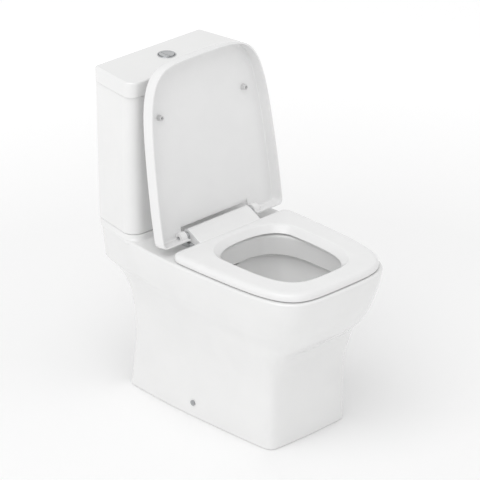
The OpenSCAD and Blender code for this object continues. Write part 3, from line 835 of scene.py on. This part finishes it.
def make_cover():
    """A thin shell that wraps over the seat, with a notch for the hinge block."""
    outside = [(1.2, 0), (0.35, 0.35), (0, 1.2), (0, 14), (0.2, 20), (0.7, 24)]
    rings = [ring(cover_half(d), COVER_Z + h) for d, h in outside]
    rings += [ring(cover_half(0.9 + inset), COVER_TOP - drop) for inset, drop in rounding(8.5, 12)]
    rings.append(ring(cover_half(30), COVER_TOP))
    cover = loft("seat_cover", rings)
    inside = [(-0.5, -1), (0, 0.6), (0.5, 14), (0.9, 22)]
    hollow = [ring(cover_half(COVER_WALL + d), COVER_Z + h) for d, h in inside]
    hollow += [ring(cover_half(COVER_WALL + 1 + inset), COVER_CEILING - drop)
               for inset, drop in rounding(4.5, 8)]
    cut(cover, loft("cover_hollow", hollow))
    for x in (-EAR_X - EAR_T, EAR_X):
        add_ear(cover, x)
    reach = EAR_X - 0.3
    notch_t = AXIS_T + 19
    cut(cover, slab("notch", -reach, reach, COVER_BACK - 1, notch_t, COVER_Z - 1, COVER_TOP + 1),
        prism("cove_slope", reach, [(notch_t - 1, COVER_TOP - 6), (notch_t + 11, COVER_TOP - 6),
                                    (notch_t + 10, COVER_TOP - 5),
                                    (notch_t - 1, COVER_TOP - 1.5)]))
    return finish(opened(cover), "cover", SEAT_WHITE, "seat_cover", slot="seat_plastic", sharp=38)


def make_cover_buffers():
    """Soft studs with a flange and an open end, which meet the seat's top when the cover shuts."""
    low = SEAT_TOP + 0.2
    high = COVER_CEILING - low
    profile = [(0.4, 5), (3.0, 4.6), (3.3, 4), (3.3, 0.8), (3.7, 0.2), (4.4, 0), (5.4, 0.3),
               (6, 1.2), (6.2, high - 2.6), (6.9, high - 2), (6.95, high - 0.6), (6.9, high),
               (0.4, high)]
    left, right = [turned("cover_buffers", profile, x, BUFFER_T, low)
                   for x in (-BUFFER_X, BUFFER_X)]
    studs = opened(join(left, right))
    return finish(studs, "cover", STUD_RUBBER, "cover_buffers", slot="clear_rubber")


# ---- light, floor and camera ----

CAMERA_AZIMUTH = math.radians(-43.9)
CAMERA_ELEVATION = math.radians(25.1)
CAMERA_DISTANCE = 7.97
CAMERA_LENS = 268
CAMERA_TARGET = Vector((-0.0003, 0.016, 0.4064))


def make_camera():
    """A long lens, far enough away for nearly parallel edges."""
    data = bpy.data.cameras.new("camera")
    data.lens = CAMERA_LENS
    data.sensor_width = 36
    camera = bpy.data.objects.new("camera", data)
    bpy.context.scene.collection.objects.link(camera)
    back = Vector((math.sin(CAMERA_AZIMUTH) * math.cos(CAMERA_ELEVATION),
                   -math.cos(CAMERA_AZIMUTH) * math.cos(CAMERA_ELEVATION),
                   math.sin(CAMERA_ELEVATION)))
    camera.location = CAMERA_TARGET + CAMERA_DISTANCE * back
    camera.rotation_mode = "QUATERNION"
    camera.rotation_quaternion = (-back).to_track_quat("-Z", "Y")
    data.clip_end = 100
    bpy.context.scene.camera = camera


def softbox(name, place, target, size, power):
    """A round lamp of the given size, turned to its target."""
    data = bpy.data.lights.new(name, "AREA")
    data.shape = "DISK"
    data.size = size
    data.energy = power
    light = bpy.data.objects.new(name, data)
    light.location = place
    light.rotation_mode = "QUATERNION"
    light.rotation_quaternion = (Vector(target) - Vector(place)).to_track_quat("-Z", "Y")
    bpy.context.scene.collection.objects.link(light)


def make_studio():
    """An even white sky, one large lamp and a pale floor that glows faintly as painted light, with
    a painted contact shadow: darker and glowing less near the part.
    """
    world = bpy.data.worlds.new("studio")
    world.use_nodes = True
    sky = world.node_tree.nodes["Background"]
    sky.inputs["Color"].default_value = (1, 1, 1, 1)
    sky.inputs["Strength"].default_value = 0.76
    bpy.context.scene.world = world
    bpy.context.scene.view_settings.view_transform = "Standard"
    softbox("key", place=(-5.0, -1.2, 8.5), target=(0, 0, 0.4), size=9, power=340)
    half = 12
    corners = [(-half, -half, 0), (half, -half, 0), (half, half, 0), (-half, half, 0)]
    floor = solid("floor", corners, [[0, 1, 2, 3]])
    floor.location.z = -0.0005
    paint = Paint("floor", (0.95, 0.95, 0.95), 0.6, Emission_Color=(1, 1, 1, 1))
    # Painted light and shade: the floor glows faintly everywhere, and near the part it glows less
    # and its colour is darker, a painted contact shadow.
    painted_shadow_near_part = paint.fade(3.0)
    paint.vary(painted_shadow_near_part, "Emission Strength", 0.12, 0.055)
    paint.vary(painted_shadow_near_part, "Base Color", (0.955, 0.955, 0.955), (0.9, 0.9, 0.9))
    floor.data.materials.append(paint.material)


make_camera()
make_studio()
dress_carried_nodes()
make_pan()
make_tank()
make_cistern_lid()
make_bezel()
make_button("full_flush_button", "full_button", -40, SPLIT_X + SPLIT_GAP)
make_button("half_flush_button", "half_button", SPLIT_X - SPLIT_GAP, 40)
make_seat()
make_cover()
make_cover_buffers()
